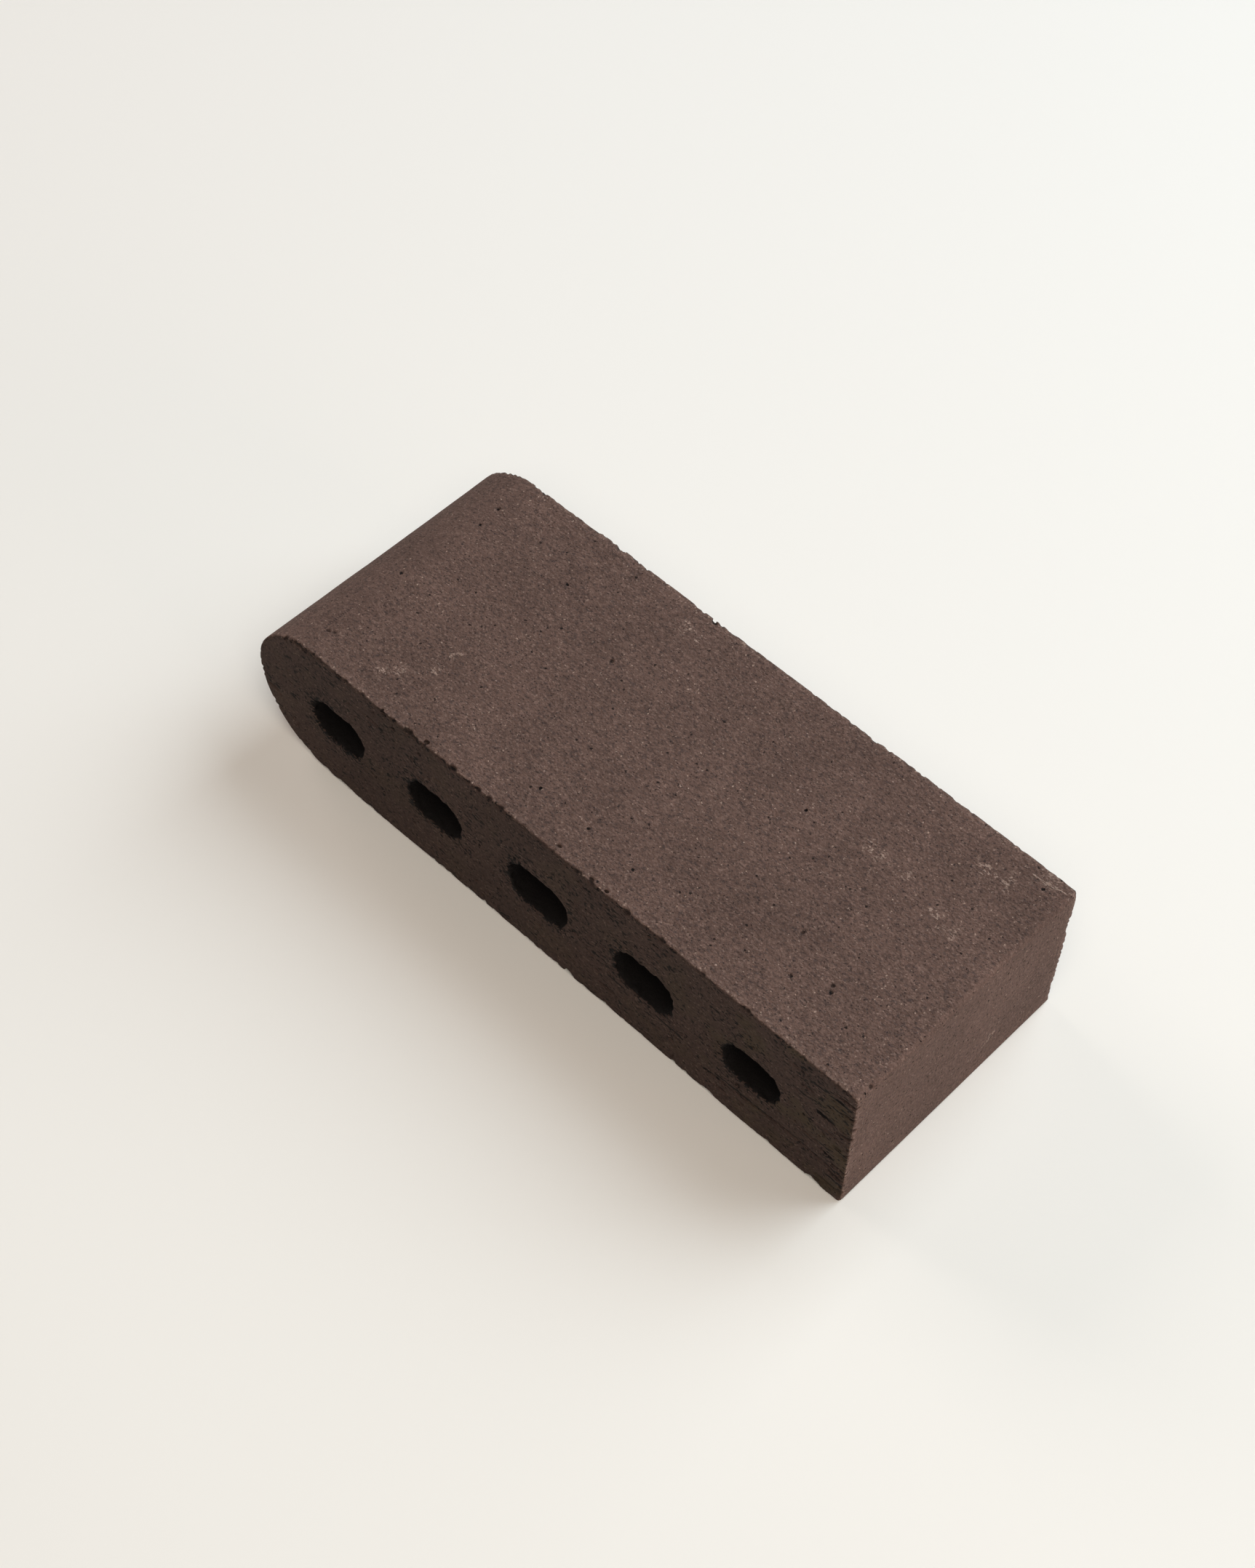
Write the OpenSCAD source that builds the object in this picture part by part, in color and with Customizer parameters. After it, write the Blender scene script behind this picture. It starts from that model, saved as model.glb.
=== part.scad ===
// Bullnose clay paver, extruded through a die, cut by wires and fired in one piece.
// It lies on its bed face: X runs along the length, from the round nose to the square end,
// Y runs across the width, from one wire-cut side to the other, and Z is up.
// The origin is on the bed plane, at the middle of the length and the width.

/* [Body] */
// Length, from the tip of the nose to the square end
paver_length = 236; // [200:1:320]
// Width, between the two wire-cut sides
paver_width = 92; // [60:1:160]
// Thickness, from the bed face up to the wearing face
paver_thickness = 57; // [48:1:80]

/* [Nose] */
// Radius of the nose above its tip, where it rolls into the wearing face
nose_upper_r = 26.5; // [20:0.5:36]

/* [Square end] */
// Radius of the two arrises that the die leaves along the square end
end_arris_r = 1.5; // [0.5:0.25:5]

/* [Core holes] */
// Number of core holes in the row
core_count = 5; // [2:1:6]
// Size of a core hole along the length of the paver
core_length = 21.5; // [14:0.5:26]
// Size of a core hole up the thickness of the paver
core_height = 15.5; // [13:0.5:24]
// Radius of the corners of a core hole
core_corner_r = 6; // [1:0.25:7]
// Solid clay between an end of the paver and the first core hole
end_wall = 24.25; // [14:0.25:34]

/* [Hidden] */
$fn = 96;

// The nose is two arcs that meet upright at its tip, so the lower one takes up what is left
nose_lower_r = paver_thickness - nose_upper_r;
core_pitch = (paver_length - 2 * end_wall - core_length) / (core_count - 1);
core_mid_height = paver_thickness / 2;
first_core_x = -core_pitch * (core_count - 1) / 2;

// How far a cut runs past the face that it starts from
overrun = 1;
fired_clay = [0.38, 0.30, 0.27];

// What is cut off a square corner at the origin to leave it rounded
module corner_waste(radius) {
    difference() {
        translate([-overrun, -overrun]) square(radius + overrun);
        translate([radius, radius]) circle(r = radius);
    }
}

// Rectangle centred on the origin, with its own radius at each corner:
// lower left, lower right, upper right and upper left
module rounded_rectangle(length, height, radii) {
    difference() {
        square([length, height], center = true);
        translate([-length / 2, -height / 2]) corner_waste(radii[0]);
        translate([length / 2, -height / 2]) mirror([1, 0]) corner_waste(radii[1]);
        translate([length / 2, height / 2]) rotate(180) corner_waste(radii[2]);
        translate([-length / 2, height / 2]) mirror([0, 1]) corner_waste(radii[3]);
    }
}

// Outline that the die gives the clay column
module column_outline() {
    radii = [nose_lower_r, end_arris_r, end_arris_r, nose_upper_r];
    translate([0, paver_thickness / 2]) rounded_rectangle(paver_length, paver_thickness, radii);
}

// Row of core holes that the die's cores leave in the clay column
module core_row() {
    radii = [for (corner = [1:4]) core_corner_r];
    for (i = [0:core_count - 1])
        translate([first_core_x + i * core_pitch, core_mid_height])
            rounded_rectangle(core_length, core_height, radii);
}

// The whole paver: one length of the column between two wire cuts
module paver() {
    color(fired_clay)
        rotate([90, 0, 0])
            difference() {
                linear_extrude(height = paver_width, center = true) column_outline();
                linear_extrude(height = paver_width + 2 * overrun, center = true) core_row();
            }
}

paver();
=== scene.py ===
import bmesh
import bpy
import numpy as np
import openvdb
from mathutils import Matrix, Vector


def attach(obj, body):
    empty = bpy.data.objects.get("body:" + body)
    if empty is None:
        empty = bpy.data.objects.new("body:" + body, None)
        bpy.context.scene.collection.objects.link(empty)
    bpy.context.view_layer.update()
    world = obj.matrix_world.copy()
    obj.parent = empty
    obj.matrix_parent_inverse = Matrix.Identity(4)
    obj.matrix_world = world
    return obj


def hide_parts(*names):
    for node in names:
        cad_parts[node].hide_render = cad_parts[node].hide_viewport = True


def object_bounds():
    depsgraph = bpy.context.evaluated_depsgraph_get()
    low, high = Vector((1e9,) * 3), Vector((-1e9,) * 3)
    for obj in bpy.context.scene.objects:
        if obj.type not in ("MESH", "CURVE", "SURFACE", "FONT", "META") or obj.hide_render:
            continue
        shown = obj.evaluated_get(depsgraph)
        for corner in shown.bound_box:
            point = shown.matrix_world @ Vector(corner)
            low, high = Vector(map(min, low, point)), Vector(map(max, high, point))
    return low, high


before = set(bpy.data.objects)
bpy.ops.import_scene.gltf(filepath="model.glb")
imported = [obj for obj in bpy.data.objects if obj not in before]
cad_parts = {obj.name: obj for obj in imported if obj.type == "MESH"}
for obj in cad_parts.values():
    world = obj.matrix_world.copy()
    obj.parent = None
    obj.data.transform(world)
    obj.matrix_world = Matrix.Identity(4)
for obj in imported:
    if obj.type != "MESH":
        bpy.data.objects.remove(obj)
cad_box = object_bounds()

# The clay column: stiff dark clay is pushed through a steel die, which gives it a flat wearing face, a
# flat bed, a square end with soft arrises and a nose of two arcs. All lengths are in millimetres. The
# clay is held on a fine grid, as the distance that each grid point lies outside the clay.
length, width, thickness = (1000 * side for side in cad_box[1] - cad_box[0])
nose_upper_r = 26.5
nose_lower_r = thickness - nose_upper_r
end_arris_r = 1.5
# Middle along the length and in height, radius, and which way the corner faces
die_corners = (
    (nose_upper_r - length / 2, thickness - nose_upper_r, nose_upper_r, -1, 1),
    (nose_lower_r - length / 2, nose_lower_r, nose_lower_r, -1, -1),
    (length / 2 - end_arris_r, thickness - end_arris_r, end_arris_r, 1, 1),
    (length / 2 - end_arris_r, end_arris_r, end_arris_r, 1, -1),
)
grid_margin = 1.6
fine_pitch = 0.36
coarse_pitch = 0.8
# The grid is fine this far in from each cut side, and coarser across the middle
fine_depth = 6.0
along = np.arange(-length / 2 - grid_margin, length / 2 + grid_margin, fine_pitch, dtype=np.float32)
up = np.arange(-grid_margin, thickness + grid_margin, fine_pitch, dtype=np.float32)
near_side = np.arange(-width / 2 - grid_margin, fine_depth - width / 2, fine_pitch)
between = np.arange(fine_depth - width / 2, width / 2 - fine_depth, coarse_pitch)
across = np.concatenate([near_side, between, -near_side[::-1]]).astype(np.float32)
grid_lines = (along, across, up)
at_x = along[:, None, None]
at_y = across[None, :, None]
at_z = up[None, None, :]


def past_die(x, z):
    """How far a point of the section lies outside the die's outline."""
    away = np.maximum(np.abs(x) - length / 2, np.abs(z - thickness / 2) - thickness / 2)
    for middle_x, middle_z, radius, way_x, way_z in die_corners:
        out_x = (x - middle_x) * way_x
        out_z = (z - middle_z) * way_z
        away = np.where((out_x > 0) & (out_z > 0), np.hypot(out_x, out_z) - radius, away)
    return away


def lumps(size, seed):
    """Smooth random lumps of this size along x, y and z over the grid, with a spread of about 1."""
    counts = [int(np.ptp(lines) / step) + 5 for lines, step in zip(grid_lines, size)]
    field = np.random.default_rng(seed).normal(0, 3, counts).astype(np.float32)
    for axis, (lines, step) in enumerate(zip(grid_lines, size)):
        place = (lines - lines[0]) / step + 1
        near = np.abs(place[:, None] - np.arange(counts[axis], dtype=np.float32))
        weight = np.where(near < 1, 2 / 3 - near**2 + near**3 / 2, np.clip(2 - near, 0, None) ** 3 / 6)
        field = np.moveaxis(np.tensordot(weight.astype(np.float32), field, (1, axis)), 0, axis)
    return np.ascontiguousarray(field)


def ease(value, low, high):
    """0 up to low, 1 from high on, and a smooth rise between."""
    share = np.clip((value - low) / (high - low), 0, 1)
    return share * share * (3 - 2 * share)


sway = lumps((30, 30, 30), 2)
ripple = lumps((6, 6, 6), 1)
# The bed lies flat on the floor, so it doesn't sway
off_bed = ease(at_z, 0.5, 5)
die_skin = past_die(along[:, None], up[None, :]).astype(np.float32)[:, None, :]
die_skin = die_skin + off_bed * (0.10 * sway + 0.025 * ripple)

# The core holes: five cores hung in the mouth of the die leave a row of rounded slots through the
# clay. The cores wear and swing, so each hole has its own reach about its middle.
core_middles = (-83.0, -41.5, 0.0, 41.5, 83.0)
core_corner_r = 6.8
# Towards the nose, towards the square end, down and up
core_reaches = (
    (11.5, 10.6, 7.9, 7.4),
    (11.5, 10.3, 7.9, 7.4),
    (11.1, 11.7, 8.3, 8.0),
    (10.4, 11.5, 8.1, 7.9),
    (10.6, 10.1, 7.9, 7.0),
)


def past_cores(x, z):
    """How far a point of the section lies outside the nearest core hole."""
    away = np.full(np.broadcast(x, z).shape, 1e3)
    for middle, (back, fore, down, rise) in zip(core_middles, core_reaches):
        in_x = np.abs(x - middle - (fore - back) / 2) - (fore + back) / 2 + core_corner_r
        in_z = np.abs(z - thickness / 2 - (rise - down) / 2) - (rise + down) / 2 + core_corner_r
        corner = np.hypot(np.maximum(in_x, 0), np.maximum(in_z, 0))
        away = np.minimum(away, corner + np.minimum(np.maximum(in_x, in_z), 0) - core_corner_r)
    return away


core_gap = past_cores(along[:, None], up[None, :]).astype(np.float32)[:, None, :]

# The two cut sides: wires drawn along the length part the column into pavers. A wire drags grains
# with it, so the cut is flat but pitted and scored. It tears the rims of the holes on the side
# towards the nose and below, the arrises all round, and the upright edges of the square end most.
nibbles = lumps((0.9, 0.9, 0.8), 5)
bites = lumps((3.2, 3.2, 2.6), 6)
scores = lumps((5.0, 1.5, 0.7), 4)
wire_pocks = lumps((1.0, 0.9, 0.7), 3)


def torn_rim(x, z):
    """How badly the wire tore the clay round the core holes, from 0 to 1."""
    middles = np.array(core_middles)
    from_middle = x - middles[np.abs(np.asarray(x)[..., None] - middles).argmin(-1)]
    towards_nose = ease(-from_middle, 3, 10)
    below = 0.8 * ease(thickness / 2 - z, 3, 8)
    badly = np.clip(0.12 + np.maximum(towards_nose, below), 0, 1)
    return badly * np.exp(-np.maximum(past_cores(x, z), 0) / 2.2)


torn = torn_rim(along[:, None], up[None, :]).astype(np.float32)[:, None, :]
in_from_cut = width / 2 - np.abs(at_y)
jagged = np.exp(-np.abs(in_from_cut) / 1.6)
ragged = 0.20 * nibbles + torn * (0.75 * np.clip(nibbles, 0, 2) + 0.45 * np.clip(bites + 0.2, 0, 2))
smooth_core = 0.12 * sway - core_gap
core_wall = smooth_core + jagged * ragged
by_end = ease(at_x, 98, 117)
low_edge = ease(-at_z, -7, -1)
pock_depth = 0.60 * np.clip(wire_pocks - (2.1 - 1.3 * torn), 0, 1.2)
score_depth = 0.50 * np.clip(scores - (2.2 - 1.2 * by_end), 0, 1.2)
crumbs = 0.35 * torn * np.clip(nibbles - 0.8, 0, 1.2)
flat_cut = 0.08 * sway + 0.03 * ripple - in_from_cut
wire_cut = flat_cut + np.maximum(pock_depth, score_depth) - crumbs
arris_loss = 0.12 + 0.34 * np.clip(nibbles - 0.4, 0, 1.6) + 0.32 * np.clip(bites - 0.8, 0, 1.5)
arris_loss += by_end * 0.50 * np.clip(scores - 0.3, 0, 1.4)
arris_loss += low_edge * (0.15 + 0.22 * np.clip(bites + 0.2, 0, 1.6))
rim_loss = 0.03 + 0.20 * torn * np.clip(nibbles, 0, 1.5)
unworn = np.maximum(np.maximum(die_skin, flat_cut), smooth_core)
clay = np.maximum(np.maximum(die_skin, wire_cut), core_wall)
# Arrises and rims lose a strip that lies at 45 degrees to their two faces
mitre = 0.7071
clay = np.maximum(clay, mitre * (die_skin + wire_cut) + arris_loss)
clay = np.maximum(clay, mitre * (core_wall + wire_cut) + rim_loss)

# Knocks and pinholes: burnt-out specks leave round pits, and handling leaves nicks along the arrises,
# a chipped far corner, a gouge on the nose and a few long tears beside the last core hole.
side = width / 2
top = thickness
nose_start = nose_upper_r - length / 2


def gouge(start, end, radius):
    """Takes a groove with rough walls out of the clay."""
    low = np.minimum(start, end) - radius - 1
    high = np.maximum(start, end) + radius + 1
    part = tuple(slice(*np.searchsorted(lines, (a, b))) for lines, a, b in zip(grid_lines, low, high))
    spots = np.stack(np.meshgrid(*(lines[s] for lines, s in zip(grid_lines, part)), indexing="ij"), -1)
    line = np.subtract(end, start)
    share = np.clip((spots - start) @ line / max(line @ line, 1e-6), 0, 1)[..., None]
    gap = np.linalg.norm(spots - start - share * line, axis=-1)
    rough = radius * (1 + 0.3 * nibbles[part])
    clay[part] = np.maximum(clay[part], (rough - gap).astype(np.float32))


# Nicks in the arris between the wearing face and the near cut side: along, in from the cut, radius
for x, inward, radius in (
    (-97.5, 0.0, 0.7),
    (-80.9, 0.1, 0.8),
    (-62.0, 0.2, 0.8),
    (-52.1, 0.5, 1.0),
    (-45.3, 1.2, 0.6),
    (-33.6, 0.2, 0.9),
    (-18.8, 0.1, 0.7),
    (-14.6, 0.0, 0.6),
    (6.6, 2.6, 0.45),
    (20.4, 1.1, 0.45),
    (26.0, 1.0, 0.5),
    (34.6, 0.0, 0.9),
    (48.0, 0.1, 0.8),
    (61.0, 0.0, 0.6),
    (77.0, 0.2, 0.7),
):
    drop = 1.0 if x < nose_start else 0.4
    gouge((x - 0.4, inward - side, top - drop), (x + 0.4, inward - side, top - drop), radius)
# Notches in the other arrises and the chipped corner
for notch, radius in (
    ((-56.8, side, top), 0.9),
    ((-17.9, side, top), 1.1),
    ((62.0, side, top), 0.8),
    ((12.3, -side, 0.6), 1.7),
    ((-22.0, -side, 0.2), 1.2),
    ((118.2, side, top), 1.2),
    ((117.6, -40.0, top), 0.8),
    ((118.0, 30.0, top), 0.6),
    ((118.0, -side, 46.0), 0.7),
    ((-104.0, -side, 53.9), 0.6),
    ((-101.5, -side, 55.0), 0.7),
    ((-99.5, -side, 55.8), 0.6),
    ((-97.0, -side, 56.4), 0.8),
    ((-94.0, -side, 56.9), 0.6),
    ((-98.5, side, 56.1), 0.8),
    ((-95.5, side, 56.7), 0.6),
    ((-92.0, side, 57.0), 0.8),
    ((-88.5, side, 57.0), 0.6),
):
    gouge(notch, notch, radius)
# Pinholes in the wearing face and the nose: along, across and radius
burnt_specks = (
    (-11.0, -33.3, 0.5),
    (8.1, -33.6, 0.45),
    (26.4, -34.9, 0.45),
    (79.9, -29.6, 0.5),
    (90.0, -24.0, 0.45),
    (91.2, -26.0, 0.45),
    (46.7, 13.6, 0.45),
    (73.1, -17.1, 0.45),
    (110.4, 39.8, 0.5),
    (-94.1, 31.3, 0.45),
    (-93.4, 23.0, 0.45),
    (-58.1, 24.7, 0.45),
    (-96.6, -6.6, 0.5),
    (-28.7, 13.3, 0.45),
    (-47.6, 11.7, 0.45),
)


def speck_height(x):
    """Height of the skin that a burnt-out speck meets, a little lower where the nose has begun."""
    return top - (0.5 if x < nose_start else 0.1)


for x, y, radius in burnt_specks:
    gouge((x, y, speck_height(x)), (x, y, speck_height(x)), radius)
# Tears and gouges: two ends and radius
for start, end, radius in (
    ((-96.1, -37.2, 56.6), (-92.6, -35.6, 57.0), 0.4),
    ((105.4, -side, 37.2), (112.2, -side, 36.7), 0.5),
    ((66.0, -side, 11.0), (82.0, -side, 13.2), 0.3),
    ((82.0, -side, 13.2), (96.0, -side, 14.7), 0.35),
    ((96.0, -side, 14.7), (117.3, -side, 13.9), 0.35),
    ((112.2, -side, 11.8), (118.0, -side, 11.9), 0.4),
    ((99.0, -side, 44.0), (104.0, -side, 44.3), 0.35),
    ((101.0, -side, 22.0), (110.0, -side, 21.5), 0.3),
):
    gouge(start, end, radius)
# Small nicks strewn along the four long arrises, more of them at the wearing face
strewn = np.random.default_rng(7)
for count, y, z, most in (
    (60, -side, top - 0.2, 0.7),
    (50, side, top, 0.5),
    (24, -side, 0.0, 0.6),
    (24, side, 0.0, 0.6),
):
    for x in strewn.uniform(-90, 116, count):
        reach = strewn.uniform(0.1, 0.9)
        gouge((x - reach, y, z), (x + reach, y, z), strewn.uniform(0.2, most))
# The same round the upper half of the nose
for y in (-side, side):
    for round_nose in np.radians(strewn.uniform(0, 100, 22)):
        spot_x = nose_start - nose_upper_r * np.sin(round_nose)
        spot_z = die_corners[0][1] + nose_upper_r * np.cos(round_nose)
        gouge((spot_x, y, spot_z), (spot_x, y, spot_z), strewn.uniform(0.3, 0.8))
# Tears and notches that the wire left where it broke out at the upright edges of the square end
for y, most in ((-side, 0.65), (side, 0.45)):
    for z in strewn.uniform(3, 54, 16):
        tip = length / 2 - strewn.uniform(-1, 4)
        gouge((tip - strewn.uniform(1, 7), y, z), (tip, y, z), strewn.uniform(0.2, 0.4))
    for z in strewn.uniform(2, 55, 14):
        notch_start = (length / 2 - strewn.uniform(0, 1.6), y, z)
        gouge(notch_start, (length / 2 + 1, y, z), strewn.uniform(0.2, most))

# The skin of the paver: the surface where the field is zero, thinned to what its bumps need and kept
# as one closed mesh. Each point notes which face it belongs to and how the clay there was worn.
field_reach = 2.0
near_skin = np.clip(clay, -field_reach, field_reach)
clay_grid = openvdb.FloatGrid(field_reach)
clay_grid.copyFromArray(np.ascontiguousarray(near_skin, dtype=np.float32))
points, _, quads = clay_grid.convertToPolygons(0.0, 0.0)
raw_spots = []
for axis, lines in enumerate(grid_lines):
    raw_spots.append(np.interp(points[:, axis], np.arange(len(lines)), lines))
raw_mesh = bpy.data.meshes.new("raw_clay")
raw_mesh.vertices.add(len(points))
raw_mesh.vertices.foreach_set("co", (np.stack(raw_spots, 1) / 1000).astype(np.float32).ravel())
raw_mesh.loops.add(4 * len(quads))
raw_mesh.loops.foreach_set("vertex_index", quads.astype(np.int32).ravel())
raw_mesh.polygons.add(len(quads))
raw_mesh.polygons.foreach_set("loop_start", np.arange(0, 4 * len(quads), 4, dtype=np.int32))
raw_mesh.update(calc_edges=True)
raw_paver = bpy.data.objects.new("raw_clay", raw_mesh)
bpy.context.scene.collection.objects.link(raw_paver)
thinning = raw_paver.modifiers.new("thinning", "DECIMATE")
most_triangles = 194000
thinning.ratio = most_triangles / (2 * len(quads))
thinned = raw_paver.evaluated_get(bpy.context.evaluated_depsgraph_get())
paver_mesh = bpy.data.meshes.new_from_object(thinned)
paver_mesh.name = "fired_paver"
bpy.data.objects.remove(raw_paver)
bpy.data.meshes.remove(raw_mesh)
# Crumbs that the gouges cut loose are dropped, so that only the largest closed shell stays
work = bmesh.new()
work.from_mesh(paver_mesh)
unseen = set(work.verts)
shells = []
while unseen:
    reached = [unseen.pop()]
    shell = []
    while reached:
        vertex = reached.pop()
        shell.append(vertex)
        around = {edge.other_vert(vertex) for edge in vertex.link_edges} & unseen
        unseen -= around
        reached.extend(around)
    shells.append(shell)
shells.sort(key=len)
for shell in shells[:-1]:
    bmesh.ops.delete(work, geom=shell, context="VERTS")
work.to_mesh(paver_mesh)
work.free()
paver_mesh.shade_smooth()
paver = bpy.data.objects.new("fired_paver", paver_mesh)
bpy.context.scene.collection.objects.link(paver)

skin_spots = np.empty(3 * len(paver_mesh.vertices), np.float32)
paver_mesh.vertices.foreach_get("co", skin_spots)
skin_x, skin_y, skin_z = 1000 * skin_spots.reshape(-1, 3).T
skin_lines = (skin_x, skin_y, skin_z)
from_die = past_die(skin_x, skin_z)
from_cut = np.abs(skin_y) - width / 2
from_core = -past_cores(skin_x, skin_z)


def at_points(field):
    """The value of a field of the grid at each point of the mesh."""
    lows = []
    steps = []
    for lines, at in zip(grid_lines, skin_lines):
        low = np.clip(np.searchsorted(lines, at) - 1, 0, len(lines) - 2)
        lows.append(low)
        steps.append((at - lines[low]) / (lines[low + 1] - lines[low]))
    value = 0
    for i, j, k in np.ndindex(2, 2, 2):
        weight = np.abs(1 - i - steps[0]) * np.abs(1 - j - steps[1]) * np.abs(1 - k - steps[2])
        value = value + weight * field[lows[0] + i, lows[1] + j, lows[2] + k]
    return value


notes = {
    "lost": -at_points(unworn),
    "cut_face": ease(np.maximum(from_cut, from_core) - from_die, -0.25, 0.25),
    "in_hole": ease(from_core, -3.2, -2.4) * ease(-from_cut, 0.1, 0.5),
    "torn": torn_rim(skin_x, skin_z),
}
for note_name, values in notes.items():
    note = paver_mesh.attributes.new(note_name, "FLOAT", "POINT")
    note.data.foreach_set("value", np.ascontiguousarray(values, dtype=np.float32))

# The skin laid out flat on one square sheet, in millimetres: the wearing face and the bed with their
# halves of the nose rolled out, the square end, the two cut sides and the walls of the holes.
sheet_size = 315.0
corner_point = np.empty(len(paver_mesh.loops), np.int32)
paver_mesh.loops.foreach_get("vertex_index", corner_point)
corner_counts = np.empty(len(paver_mesh.polygons), np.int32)
paver_mesh.polygons.foreach_get("loop_total", corner_counts)
facet = np.repeat(np.arange(len(corner_counts)), corner_counts)
mid_x, mid_y, mid_z = (np.bincount(facet, at[corner_point]) / corner_counts for at in skin_lines)
mid_die = past_die(mid_x, mid_z)
mid_cut = np.abs(mid_y) - width / 2
mid_core = -past_cores(mid_x, mid_z)
nearest_core = np.abs(mid_x[:, None] - np.array(core_middles)).argmin(1)
# Pieces of the sheet: 0 top, 1 bed, 2 square end, 3 and 4 cut sides, 5 to 9 hole walls
is_end = length / 2 - mid_x < np.minimum(mid_z, thickness - mid_z)
piece = np.where(is_end, 2, np.where(mid_z > nose_lower_r, 0, 1))
piece = np.where(mid_cut > np.maximum(mid_die, mid_core), np.where(mid_y < 0, 3, 4), piece)
piece = np.where(mid_core > np.maximum(mid_die, mid_cut), 5 + nearest_core, piece)[facet]
core_middle = np.array(core_middles)[nearest_core]
mid_turn = np.arctan2(mid_z - thickness / 2, mid_x - core_middle)[facet]
corner_x, corner_y, corner_z = (at[corner_point] for at in skin_lines)
wall_turn = np.arctan2(corner_z - thickness / 2, corner_x - core_middle[facet]) - mid_turn
wall_turn = mid_turn + (wall_turn + np.pi) % (2 * np.pi) - np.pi


def rolled_out(corner):
    """How far along the skin each corner lies from the tip of the nose."""
    middle_x, middle_z, radius, _, way_z = die_corners[corner]
    past_flat = np.arctan2(middle_x - corner_x, (corner_z - middle_z) * way_z)
    on_flat = corner_x - middle_x + radius * np.pi / 2
    return np.where(corner_x < middle_x, radius * (np.pi / 2 - past_flat), on_flat)


# Where each piece lies on the sheet, its two directions and its scale. The hole walls are half size.
from_near_side = corner_y + width / 2
from_nose = corner_x + length / 2
hole_reach = 10.5
layout = [
    (2, 2, rolled_out(0), from_near_side, 1),
    (2, 97, rolled_out(1), from_near_side, 1),
    (257, 2, corner_z, from_near_side, 1),
    (2, 192, from_nose, corner_z, 1),
    (2, 252, from_nose, corner_z, 1),
]
for left, low in ((243, 192), (279, 192), (243, 242), (279, 242), (257, 97)):
    layout.append((left, low, hole_reach * (wall_turn + np.pi), from_near_side, 0.5))
flat = np.zeros((len(facet), 2))
for number, (left, low, across_sheet, up_sheet, scale) in enumerate(layout):
    laid = np.stack([left + scale * across_sheet, low + scale * up_sheet], 1)
    flat = np.where((piece == number)[:, None], laid, flat)
sheet = paver_mesh.uv_layers.new(name="OFBake")
sheet.uv.foreach_set("vector", (flat / sheet_size).astype(np.float32).ravel())
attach(paver, "root")
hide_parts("paver")

# The fired clay: matt and unglazed, dark brown, with sandy grains of tan and cream and dark mottles. The
# cut sides are smoother, darker and a little olive. Pinholes, pits, scores and cracks are painted black
# and the holes nearly black, as painted shade inside them. Deep nicks are painted dark, as painted shade
# and dark torn clay. The arrises are painted pale, partly as rubbed clay and partly as a painted
# highlight. The square end is painted lighter and the nose darker, as painted light and shade.
fired_clay = bpy.data.materials.new("fired_clay")
fired_clay.use_nodes = True
fired_clay.node_tree.nodes.clear()


class Tone:
    """What one node gives out. Sums on it add Math nodes."""

    tree = fired_clay.node_tree

    def __init__(self, socket):
        self.socket = socket

    @classmethod
    def node(cls, kind, settings, sockets, output=0):
        """Adds a node with these settings, and these values or links on its sockets."""
        made = cls.tree.nodes.new("ShaderNode" + kind)
        for name, value in settings.items():
            if name == "stops":
                made.color_ramp.elements[0].color = value[0][1]
                made.color_ramp.elements[-1].color = value[-1][1]
                for position, colour in value[1:-1]:
                    made.color_ramp.elements.new(position).color = colour
            else:
                setattr(made, name, value)
        for name, value in sockets.items():
            if isinstance(value, Tone):
                cls.tree.links.new(value.socket, made.inputs[name])
            else:
                made.inputs[name].default_value = value
        return Tone(made.outputs[output]) if made.outputs else made

    def sum(self, operation, first, second):
        return self.node("Math", {"operation": operation}, {0: first, 1: second})

    def __add__(self, other):
        return self.sum("ADD", self, other)

    def __radd__(self, other):
        return self.sum("ADD", other, self)

    def __sub__(self, other):
        return self.sum("SUBTRACT", self, other)

    def __rsub__(self, other):
        return self.sum("SUBTRACT", other, self)

    def __mul__(self, other):
        return self.sum("MULTIPLY", self, other)

    def __rmul__(self, other):
        return self.sum("MULTIPLY", other, self)

    def __abs__(self):
        return self.node("Math", {"operation": "ABSOLUTE"}, {0: self})

    def rise(self, low, high):
        """0 up to low, 1 from high on, and a smooth rise between."""
        ends = {"Value": self, "From Min": low, "From Max": high}
        return self.node("MapRange", {"interpolation_type": "SMOOTHSTEP"}, ends)

    def mixed(self, first, second):
        """The first colour where this is 0, and the second where it is 1."""
        return self.node("Mix", {"data_type": "RGBA"}, {0: self, 6: first, 7: second}, 2)

    def shade(self, colour):
        """The colour, as many times brighter as this says."""
        return self.node("VectorMath", {"operation": "SCALE"}, {0: colour, "Scale": self})


spot = Tone.node("TexCoord", {}, {}, "Object")
far_along = Tone.node("SeparateXYZ", {}, {0: spot}, "X") * 1000
far_across = Tone.node("SeparateXYZ", {}, {0: spot}, "Y") * 1000
far_up = Tone.node("SeparateXYZ", {}, {0: spot}, "Z") * 1000
# The same places, each nudged by up to half a millimetre, so that marks get rough outlines
wander = Tone.node("TexNoise", {}, {"Vector": spot, "Scale": 1000 / 0.7, "Detail": 2.0}, "Color")
nudge = (0.001, 0.001, 0.001)
rough_spot = Tone.node("VectorMath", {"operation": "MULTIPLY_ADD"}, {0: wander, 1: nudge, 2: spot})


def noted(name):
    return Tone.node("Attribute", {"attribute_name": name}, {}, "Fac")


def drawn_out(where, size, stretch):
    """Places counted in steps of this many millimetres, drawn out along x, y and z."""
    steps = tuple(1000 / (size * share) for share in stretch)
    return Tone.node("VectorMath", {"operation": "MULTIPLY"}, {0: where, 1: steps})


def cloud(size, detail=2.0, stretch=(1, 1, 1)):
    """Noise with features of about this many millimetres, from 0 to 1."""
    sockets = {"Vector": drawn_out(spot, size, stretch), "Scale": 1.0, "Detail": detail}
    return Tone.node("TexNoise", {}, sockets)


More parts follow.
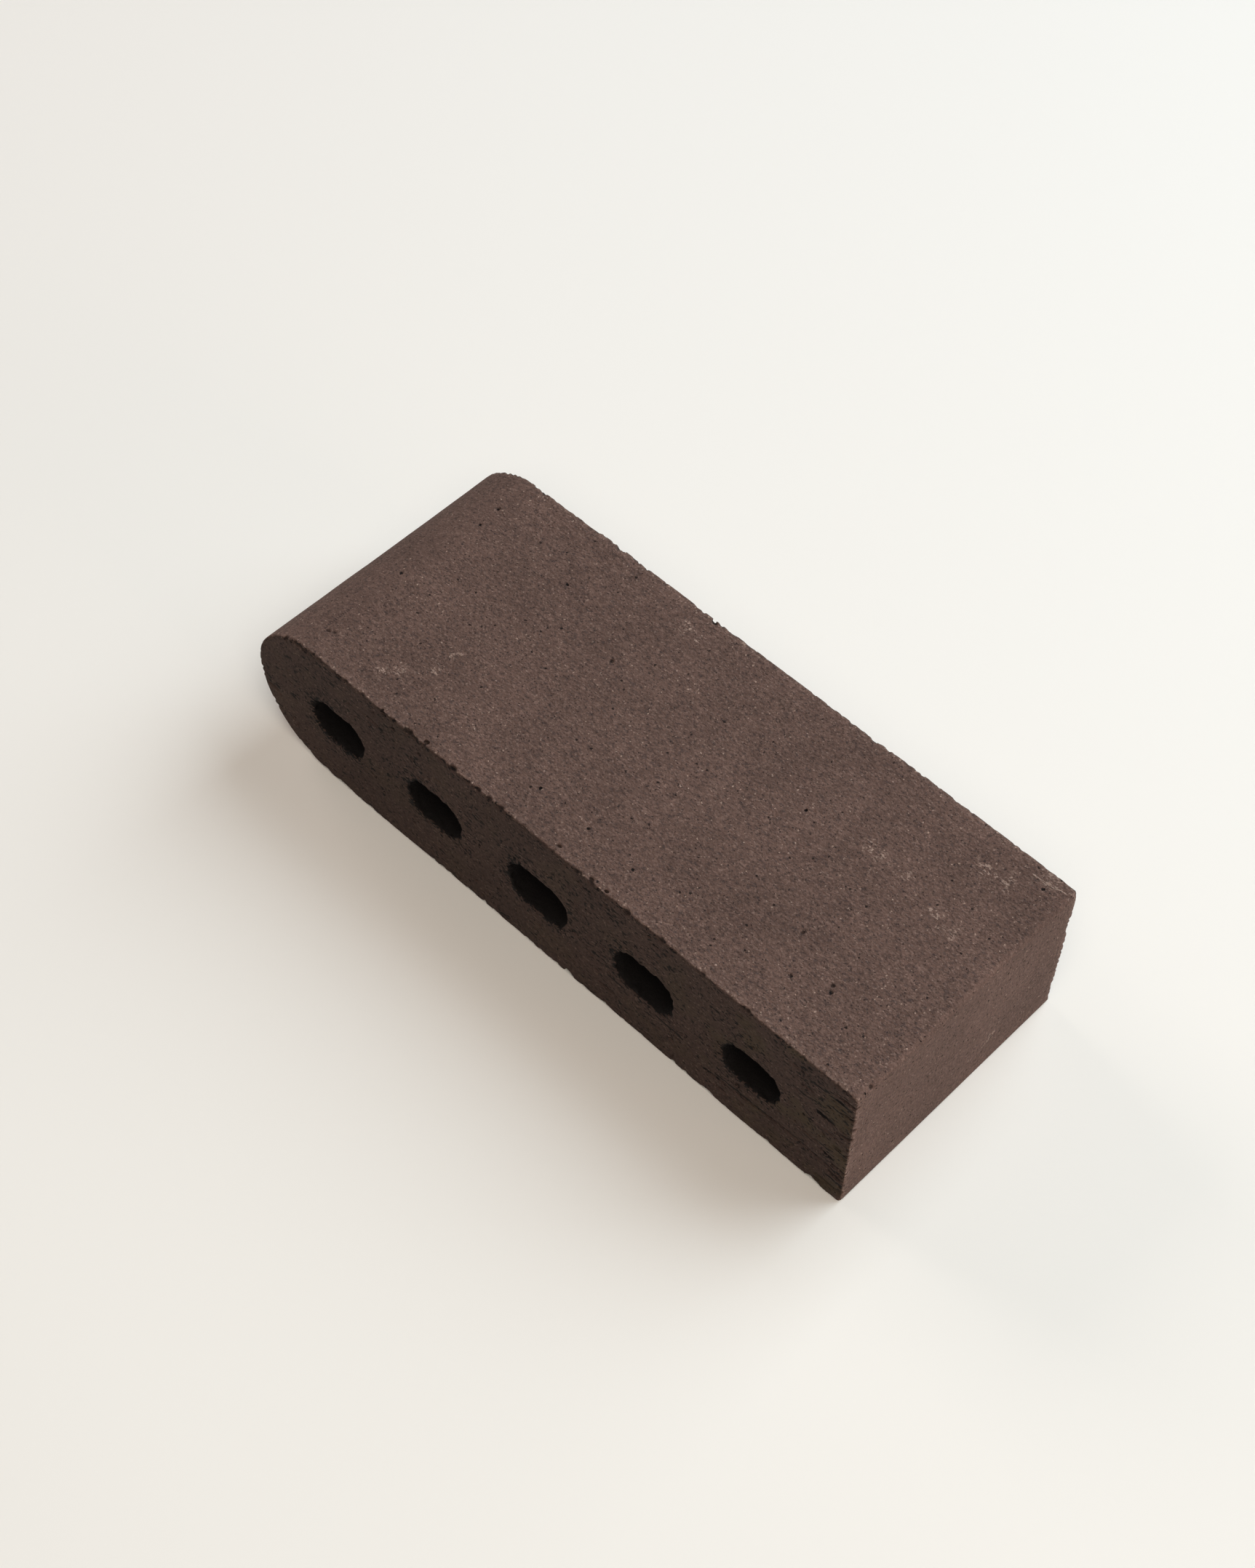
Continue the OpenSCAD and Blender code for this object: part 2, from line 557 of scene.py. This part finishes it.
def cells(size, output, stretch=(1, 1, 1), where=spot):
    """Random cells of about this many millimetres: the gap to a cell's middle, or its own colour."""
    return Tone.node("TexVoronoi", {}, {"Vector": drawn_out(where, size, stretch), "Scale": 1.0}, output)


def chance(size, stretch=(1, 1, 1), where=spot):
    """A number from 0 to 1 that is the same all over each cell."""
    return Tone.node("SeparateColor", {}, {0: cells(size, "Color", stretch, where)}, 0)


def marks(spacing, radius, stretch=(1, 1, 1)):
    """Rough dots or dashes strewn through the clay, this many millimetres apart."""
    gap = cells(spacing, "Distance", stretch, rough_spot)
    return 1 - gap.rise(0.7 * radius / spacing, 1.1 * radius / spacing)


skin_grains = (
    (0.00, (0.060, 0.0392, 0.0335, 1)),
    (0.12, (0.084, 0.0538, 0.0450, 1)),
    (0.30, (0.104, 0.0646, 0.0531, 1)),
    (0.70, (0.112, 0.0693, 0.0565, 1)),
    (0.88, (0.131, 0.0824, 0.0675, 1)),
    (0.97, (0.154, 0.1000, 0.0825, 1)),
    (1.00, (0.200, 0.1380, 0.1150, 1)),
)
skin_brown = (0.110, 0.0682, 0.0557, 1)
fleck_slate = (0.041, 0.0312, 0.0305, 1)
fleck_tan = (0.170, 0.1130, 0.0940, 1)
cut_grains = (
    (0.00, (0.026, 0.0166, 0.0137, 1)),
    (0.15, (0.044, 0.0275, 0.0228, 1)),
    (0.80, (0.056, 0.0348, 0.0287, 1)),
    (0.95, (0.074, 0.0472, 0.0388, 1)),
    (1.00, (0.125, 0.0830, 0.0680, 1)),
)
cut_olive = (0.053, 0.0372, 0.0240, 1)
rubbed_and_highlight_tan = (0.190, 0.128, 0.106, 1)
speck_cream = (0.36, 0.262, 0.212, 1)
scuff_pale = (0.320, 0.233, 0.192, 1)
speck_dark = (0.024, 0.0176, 0.0163, 1)
# Near black, used as painted shade in pinholes, pits, cracks, deep nicks and the holes
pit_shade_black = (0.0050, 0.0038, 0.0035, 1)

cut_face = noted("cut_face")
torn_clay = noted("torn")
on_nose = (-1 * far_along).rise(88, 97)
on_end = far_along.rise(116.4, 117.4)
near_end = far_along.rise(80, 112)
grain = chance(0.36, (1.4, 1, 1))
sand = cloud(0.24, 1.0)
mottle = cloud(1.7, 3.0, (1.4, 1, 1))
drift = cloud(24, 2.0)
flecks = cloud(0.8, 2.0, (1.8, 1, 1))

skin = Tone.node("ValToRGB", {"stops": skin_grains}, {0: grain})
skin = (0.40 * on_end + 0.25 * on_nose).mixed(skin, skin_brown)
skin = (flecks.rise(0.56, 0.67) * (0.55 - 0.1 * on_end)).mixed(skin, fleck_slate)
skin = ((1 - flecks).rise(0.56, 0.68) * 0.50).mixed(skin, fleck_tan)
skin = (marks(2.5, 0.26) * 0.75).mixed(skin, speck_cream)
skin = (marks(1.45, 0.27) * 0.85).mixed(skin, speck_dark)
# The arrises along the cut sides are painted pale and crumbly: partly rubbed clay, partly a painted
# highlight where the rounded arris catches the light
by_cut = 1 - (width / 2 - abs(far_across)).rise(0.3, 3.2)
rubbed_and_highlit = by_cut * cloud(1.0, 3.0).rise(0.42, 0.62) * (0.5 + 0.25 * near_end)
skin = rubbed_and_highlit.mixed(skin, rubbed_and_highlight_tan)
skin = (by_cut * marks(1.9, 0.36) * 0.75).mixed(skin, speck_cream)
# Pale scuffs on the wearing face and one on the square end: along, across, height, size and strength
smear = Tone.node("TexNoise", {}, {"Vector": spot, "Scale": 1000 / 3.0, "Detail": 3.0}, "Color")
smear_reach = (0.010, 0.010, 0.010)
smeared = Tone.node("VectorMath", {"operation": "MULTIPLY_ADD"}, {0: smear, 1: smear_reach, 2: spot})
scuffed = 0
for *scuff_middle, size, strength in (
    (-21.7, 37.9, top, 2.6, 1.0),
    (-17.4, 38.0, top, 1.4, 0.8),
    (66.7, 17.5, top, 2.2, 0.9),
    (71.6, 16.2, top, 2.6, 0.7),
    (80.4, 16.1, top, 2.6, 0.8),
    (93.4, 33.4, top, 3.0, 0.8),
    (97.1, 33.7, top, 2.8, 0.9),
    (101.7, 35.3, top, 3.2, 0.9),
    (94.6, 13.7, top, 2.6, 0.8),
    (101.2, 11.1, top, 2.8, 0.8),
    (110.0, 42.4, top, 4.0, 0.8),
    (117.3, 45.3, top, 2.6, 1.0),
    (-72.9, -36.5, top, 3.0, 0.9),
    (-69.3, -32.2, top, 2.8, 0.8),
    (-62.2, -25.1, top, 2.6, 0.9),
    (-62.9, -17.1, top, 1.9, 0.9),
    (118.0, 14.6, 13.8, 2.0, 0.9),
    (118.0, 16.4, 14.9, 2.4, 1.0),
    (118.0, 18.2, 16.0, 1.8, 0.8),
):
    middle = tuple(at / 1000 + 0.005 for at in scuff_middle)
    gap = Tone.node("VectorMath", {"operation": "DISTANCE"}, {0: smeared, 1: middle}, "Value")
    scuffed = scuffed + strength * (1 - gap.rise(0.0003 * size, 0.0011 * size))
scuffs = scuffed * cloud(0.55, 3.0, (1.8, 1, 1)).rise(0.53, 0.58)
skin = scuffs.mixed(skin, scuff_pale)
# A hair-thin pale scratch by the far corner of the wearing face
wobble = cloud(5, 2.0)
scratch_line = 41.9 + 0.083 * (far_along - 105.3) + 1.6 * (wobble - 0.5) + 0.9 * (mottle - 0.5)
scratch_run = far_along.rise(104.8, 105.8) * (1 - far_along.rise(115.6, 116.6)) * far_up.rise(56, 56.5)
scratch = (1 - abs(far_across - scratch_line).rise(0.10, 0.24)) * scratch_run
skin = (scratch * (0.35 + 0.65 * flecks.rise(0.42, 0.56))).mixed(skin, scuff_pale)
# A short row of tick marks across the top of the nose
tick_spacing = 0.72
tick_wave = far_across * (2 * np.pi / tick_spacing)
ticks = Tone.node("Math", {"operation": "SINE"}, {0: tick_wave}).rise(-0.1, 0.5)
tick_row = (1 - abs(far_along + 97.0).rise(0.3, 0.6)) * far_up.rise(50, 52)
tick_run = far_across.rise(-36.6, -36.0) * (1 - far_across.rise(-25.6, -25.0))
skin = (0.7 * ticks * tick_row * tick_run).mixed(skin, speck_dark)
# Painted light and shade: the square end is painted lighter and the nose darker, standing in for how the
# light falls on them
skin = (1.025 + 0.145 * on_end - 0.09 * on_nose).shade(skin)

cut = Tone.node("ValToRGB", {"stops": cut_grains}, {0: grain})
cut = (cloud(15, 2.0).rise(0.48, 0.66) * (0.25 + 0.6 * far_along.rise(30, 100))).mixed(cut, cut_olive)
colour = cut_face.mixed(skin, cut)
colour = (0.9 * sand + 0.7 * mottle + 0.5 * drift - 0.05).shade(colour)
# The strewn pinholes are painted black, as painted shade in the pits: fewer on the nose, more on the
# square end
pinhole_shade = 0.9 * marks(5.2, 0.44) * (1 - 0.5 * on_nose) + on_end * marks(2.3, 0.34)
# The placed pinholes are painted black inside too, as painted shade in them
for speck_x, speck_y, radius in burnt_specks:
    middle = tuple(at / 1000 + 0.0005 for at in (speck_x, speck_y, speck_height(speck_x)))
    gap = Tone.node("VectorMath", {"operation": "DISTANCE"}, {0: rough_spot, 1: middle}, "Value")
    speck = 1 - gap.rise(0.0009 * radius, 0.0014 * radius)
    pinhole_shade = pinhole_shade.sum("MAXIMUM", pinhole_shade, speck)
# The pits, pocks, dashes, scores and cracks of the cut sides are painted black: painted shade inside
# them
pitted = (cloud(7, 2.0) + 0.10 * far_up.rise(16, 46)).rise(0.50, 0.64)
pits = (cloud(0.7, 2.0, (1.8, 1, 1)) + 0.05 * pitted + 0.22 * torn_clay).rise(0.645, 0.665)
pocks = marks(2.4, 0.56, (2.0, 1, 1)) * (0.15 + 0.85 * pitted)
dashes = marks(1.9, 0.34, (3.6, 1, 1)) * (0.3 + 0.7 * pitted)
scratches = marks(1.7, 0.30, (12, 1, 1)) * (0.05 + 0.95 * near_end)
unmarked = (1 - pits) * (1 - pocks) * (1 - dashes) * (1 - scratches)
# Cracks that the wire drew in the near cut side, painted black as painted shade inside them: along and
# height of both ends, and thickness
broken = cloud(2.5, 2.0).rise(0.32, 0.42) * (-1 * far_across).rise(0, 1)
for x0, z0, x1, z1, thick in (
    (66.0, 11.0, 72.0, 11.6, 0.5),
    (70.0, 13.1, 82.0, 14.1, 0.4),
    (82.0, 14.1, 96.0, 15.0, 0.45),
    (96.0, 15.0, 117.5, 14.3, 0.5),
    (111.5, 9.2, 118.0, 9.6, 0.5),
    (105.4, 37.2, 112.2, 37.2, 0.9),
    (103.0, 49.4, 117.0, 49.6, 0.4),
    (97.0, 40.0, 101.5, 39.8, 0.45),
    (47.0, 17.0, 57.0, 16.6, 0.4),
    (28.0, 17.4, 35.0, 17.0, 0.4),
):
    crack_height = z0 + (z1 - z0) / (x1 - x0) * (far_along - x0) + 1.6 * (wobble - 0.5)
    within = far_along.rise(x0 - 0.5, x0 + 0.5) * (1 - far_along.rise(x1 - 0.5, x1 + 0.5))
    crack = (1 - abs(far_up - crack_height).rise(0.7 * thick, 1.1 * thick)) * within * broken
    unmarked = unmarked * (1 - crack)
cut_pit_shade = cut_face * (1 - unmarked)
# Deep nicks and chips above the bed are painted dark: partly painted shade in the hollows, partly dark
# torn clay
hollow_shade_and_torn_clay = noted("lost").rise(0.16, 0.5) * far_up.rise(2, 6) * 0.62
colour = pinhole_shade.mixed(colour, pit_shade_black)
colour = cut_pit_shade.mixed(colour, pit_shade_black)
colour = hollow_shade_and_torn_clay.mixed(colour, pit_shade_black)
# The walls deep in the core holes are painted near black: painted shade inside the holes
colour = noted("in_hole").mixed(colour, pit_shade_black)

gritty = 1 - 0.55 * on_end - 0.5 * on_nose - 0.5 * cut_face
grits = (1 - cells(0.75, "Distance")) * 0.16
grits = grits + 0.62 * cloud(0.7, 2.0, (1.4, 1, 1))
relief = gritty * grits + 0.09 * sand
normal = Tone.node("Bump", {}, {"Height": relief, "Distance": 0.001, "Strength": 1.0}, "Normal")
shader_sockets = {
    "Base Color": colour,
    "Roughness": 0.80 + 0.16 * sand,
    "Specular IOR Level": 0.12,
    "Normal": normal,
}
matt_clay = Tone.node("BsdfPrincipled", {}, shader_sockets)
Tone.node("OutputMaterial", {}, {"Surface": matt_clay})
paver_mesh.materials.clear()
paver_mesh.materials.append(fired_clay)

# The floor: a plain sheet of warm white that the paver lies on. It is stage, not part of the object.
floor_mesh = bpy.data.meshes.new("floor")
floor_half = 3.0
floor_corners = [(-1, -1), (1, -1), (1, 1), (-1, 1)]
floor_points = [(floor_half * a, floor_half * b, 0) for a, b in floor_corners]
floor_mesh.from_pydata(floor_points, [], [(0, 1, 2, 3)])
floor = bpy.data.objects.new("floor", floor_mesh)
bpy.context.scene.collection.objects.link(floor)
floor_white = bpy.data.materials.new("floor_white")
floor_white.use_nodes = True
floor_white.node_tree.nodes.clear()
Tone.tree = floor_white.node_tree
pale = (0.86, 0.845, 0.805, 1)
sheet_sockets = {"Base Color": pale, "Roughness": 0.9, "Specular IOR Level": 0.1}
sheet_shader = Tone.node("BsdfPrincipled", {}, sheet_sockets)
# Far from the paver the floor is seen as pale as the walls behind it
far_glow = Tone.node("Emission", {}, {"Color": pale, "Strength": 1.0})
floor_spot = Tone.node("TexCoord", {}, {}, "Object")
far_off = Tone.node("VectorMath", {"operation": "LENGTH"}, {0: floor_spot}, "Value").rise(0.65, 1.5)
camera_ray = Tone.node("LightPath", {}, {}, "Is Camera Ray")
faded = Tone.node("MixShader", {}, {0: far_off * camera_ray, 1: sheet_shader, 2: far_glow})
Tone.node("OutputMaterial", {}, {"Surface": faded})
floor_mesh.materials.append(floor_white)

# The light: a very large soft lamp behind the paver, a low one at each end and one above the near
# corner, all plain studio panels 1.8 m away. Direction round the paver and height are in degrees.
lamp_distance = 1.8
for lamp_name, turn_deg, height_deg, panel, power, tint in (
    ("soft_key", 70, 45, 1.7, 32.8, (0.845, 0.935, 1.0)),
    ("square_end_lamp", 0, 13, 0.6, 4.3, (1.0, 0.70, 0.58)),
    ("nose_lamp", 180, 30, 0.9, 9.3, (1.0, 0.867, 0.810)),
    ("near_corner_fill", 315, 60, 0.9, 15.9, (1.0, 0.917, 0.814)),
):
    lamp_data = bpy.data.lights.new(lamp_name, "AREA")
    lamp_data.shape = "SQUARE"
    lamp_data.size = panel
    lamp_data.energy = power
    lamp_data.color = tint
    lamp = bpy.data.objects.new(lamp_name, lamp_data)
    lamp.visible_camera = False
    turn, height = np.radians((turn_deg, height_deg))
    towards = Vector((np.cos(turn) * np.cos(height), np.sin(turn) * np.cos(height), np.sin(height)))
    lamp.location = lamp_distance * towards
    lamp.rotation_euler = (-towards).to_track_quat("-Z", "Y").to_euler()
    bpy.context.scene.collection.objects.link(lamp)

# The room: pale walls where the camera looks past the floor, which give only a weak light.
room = bpy.data.worlds.new("room")
room.use_nodes = True
room.node_tree.nodes.clear()
Tone.tree = room.node_tree
room_light = Tone.node("Background", {}, {"Color": (1.0, 1.0, 1.0, 1), "Strength": 0.01})
seen_walls = Tone.node("Background", {}, {"Color": pale, "Strength": 1.0})
seen = Tone.node("LightPath", {}, {}, "Is Camera Ray")
for kind in ("Is Glossy Ray", "Is Transmission Ray"):
    seen = seen.sum("MAXIMUM", seen, Tone.node("LightPath", {}, {}, kind))
walls = Tone.node("MixShader", {}, {0: seen, 1: room_light, 2: seen_walls})
Tone.node("OutputWorld", {}, {"Surface": walls})
bpy.context.scene.world = room

# The camera: above the near corner of the square end, looking down along the paver to its nose.
camera_data = bpy.data.cameras.new("camera")
camera_data.sensor_width = 36
camera_data.lens = 61.441
camera = bpy.data.objects.new("camera", camera_data)
camera_place = Vector((0.30259, -0.33938, 0.66462))
camera_aim = Vector((-0.39647, 0.43227, -0.80991)).normalized()
camera_roll = np.radians(1.9086)
sideways = camera_aim.cross(Vector((0, 0, 1))).normalized()
upright = sideways.cross(camera_aim)
right = sideways * np.cos(camera_roll) + upright * np.sin(camera_roll)
turned = Matrix((right, right.cross(camera_aim), -camera_aim)).transposed().to_4x4()
camera.matrix_world = Matrix.Translation(camera_place) @ turned
bpy.context.scene.collection.objects.link(camera)
bpy.context.scene.camera = camera
bpy.context.scene.view_settings.view_transform = "Standard"

# The scene brought up to date.
bpy.context.view_layer.update()
